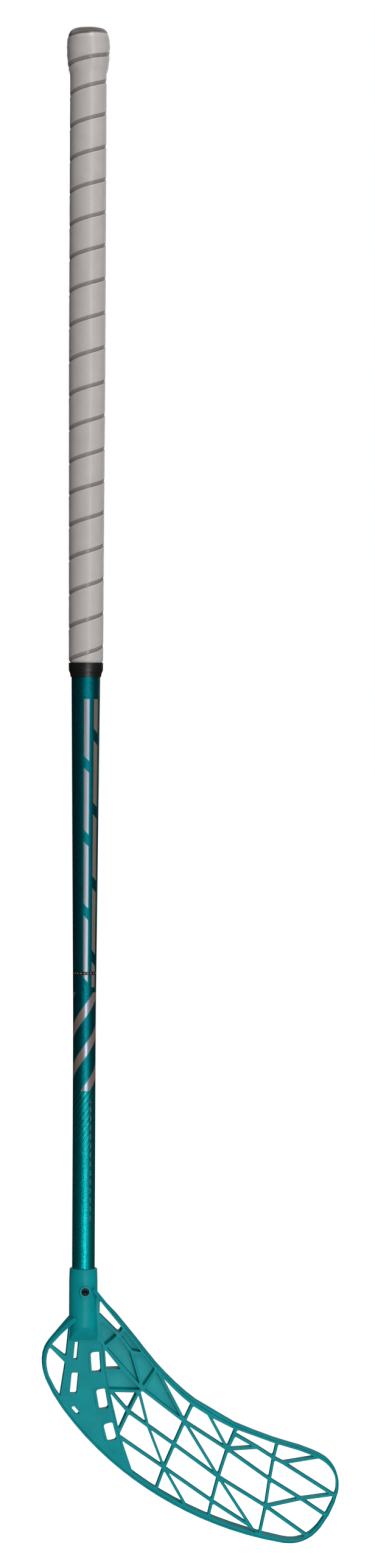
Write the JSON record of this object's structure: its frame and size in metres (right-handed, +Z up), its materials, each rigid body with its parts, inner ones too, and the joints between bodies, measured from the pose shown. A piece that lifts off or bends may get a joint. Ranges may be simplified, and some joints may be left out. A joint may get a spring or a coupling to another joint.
{
  "type": "floorball stick",
  "caption": "Long tapered round shaft with a wound grip and thickened butt, and a curved lattice blade screwed to its lower end.",
  "frame": {"origin": "middle of the flat butt face at the top of the shaft", "axes": "+Z up along the shaft towards the butt, +X towards the toe of the blade, +Y towards the backhand side, so that the forehand side faces -Y"},
  "size_m": [0.236, 0.0438, 1.1833],
  "materials": {
    "lacquered_composite": "glossy lacquer with fine metal flake over a carbon composite tube",
    "black_rubber": "matt",
    "grip_foam": "soft matt foam-backed film",
    "black_vinyl": "satin tape",
    "moulded_plastic": "fine satin texture",
    "black_steel": "blackened"
  },
  "bodies": {
    "root": {"shaft": "lacquered_composite", "end_cap": "black_rubber", "grip_tape": "grip_foam", "closing_tape": "black_vinyl", "blade": "moulded_plastic", "screw_front": "black_steel", "screw_rear": "black_steel"}
  },
  "joints": []
}
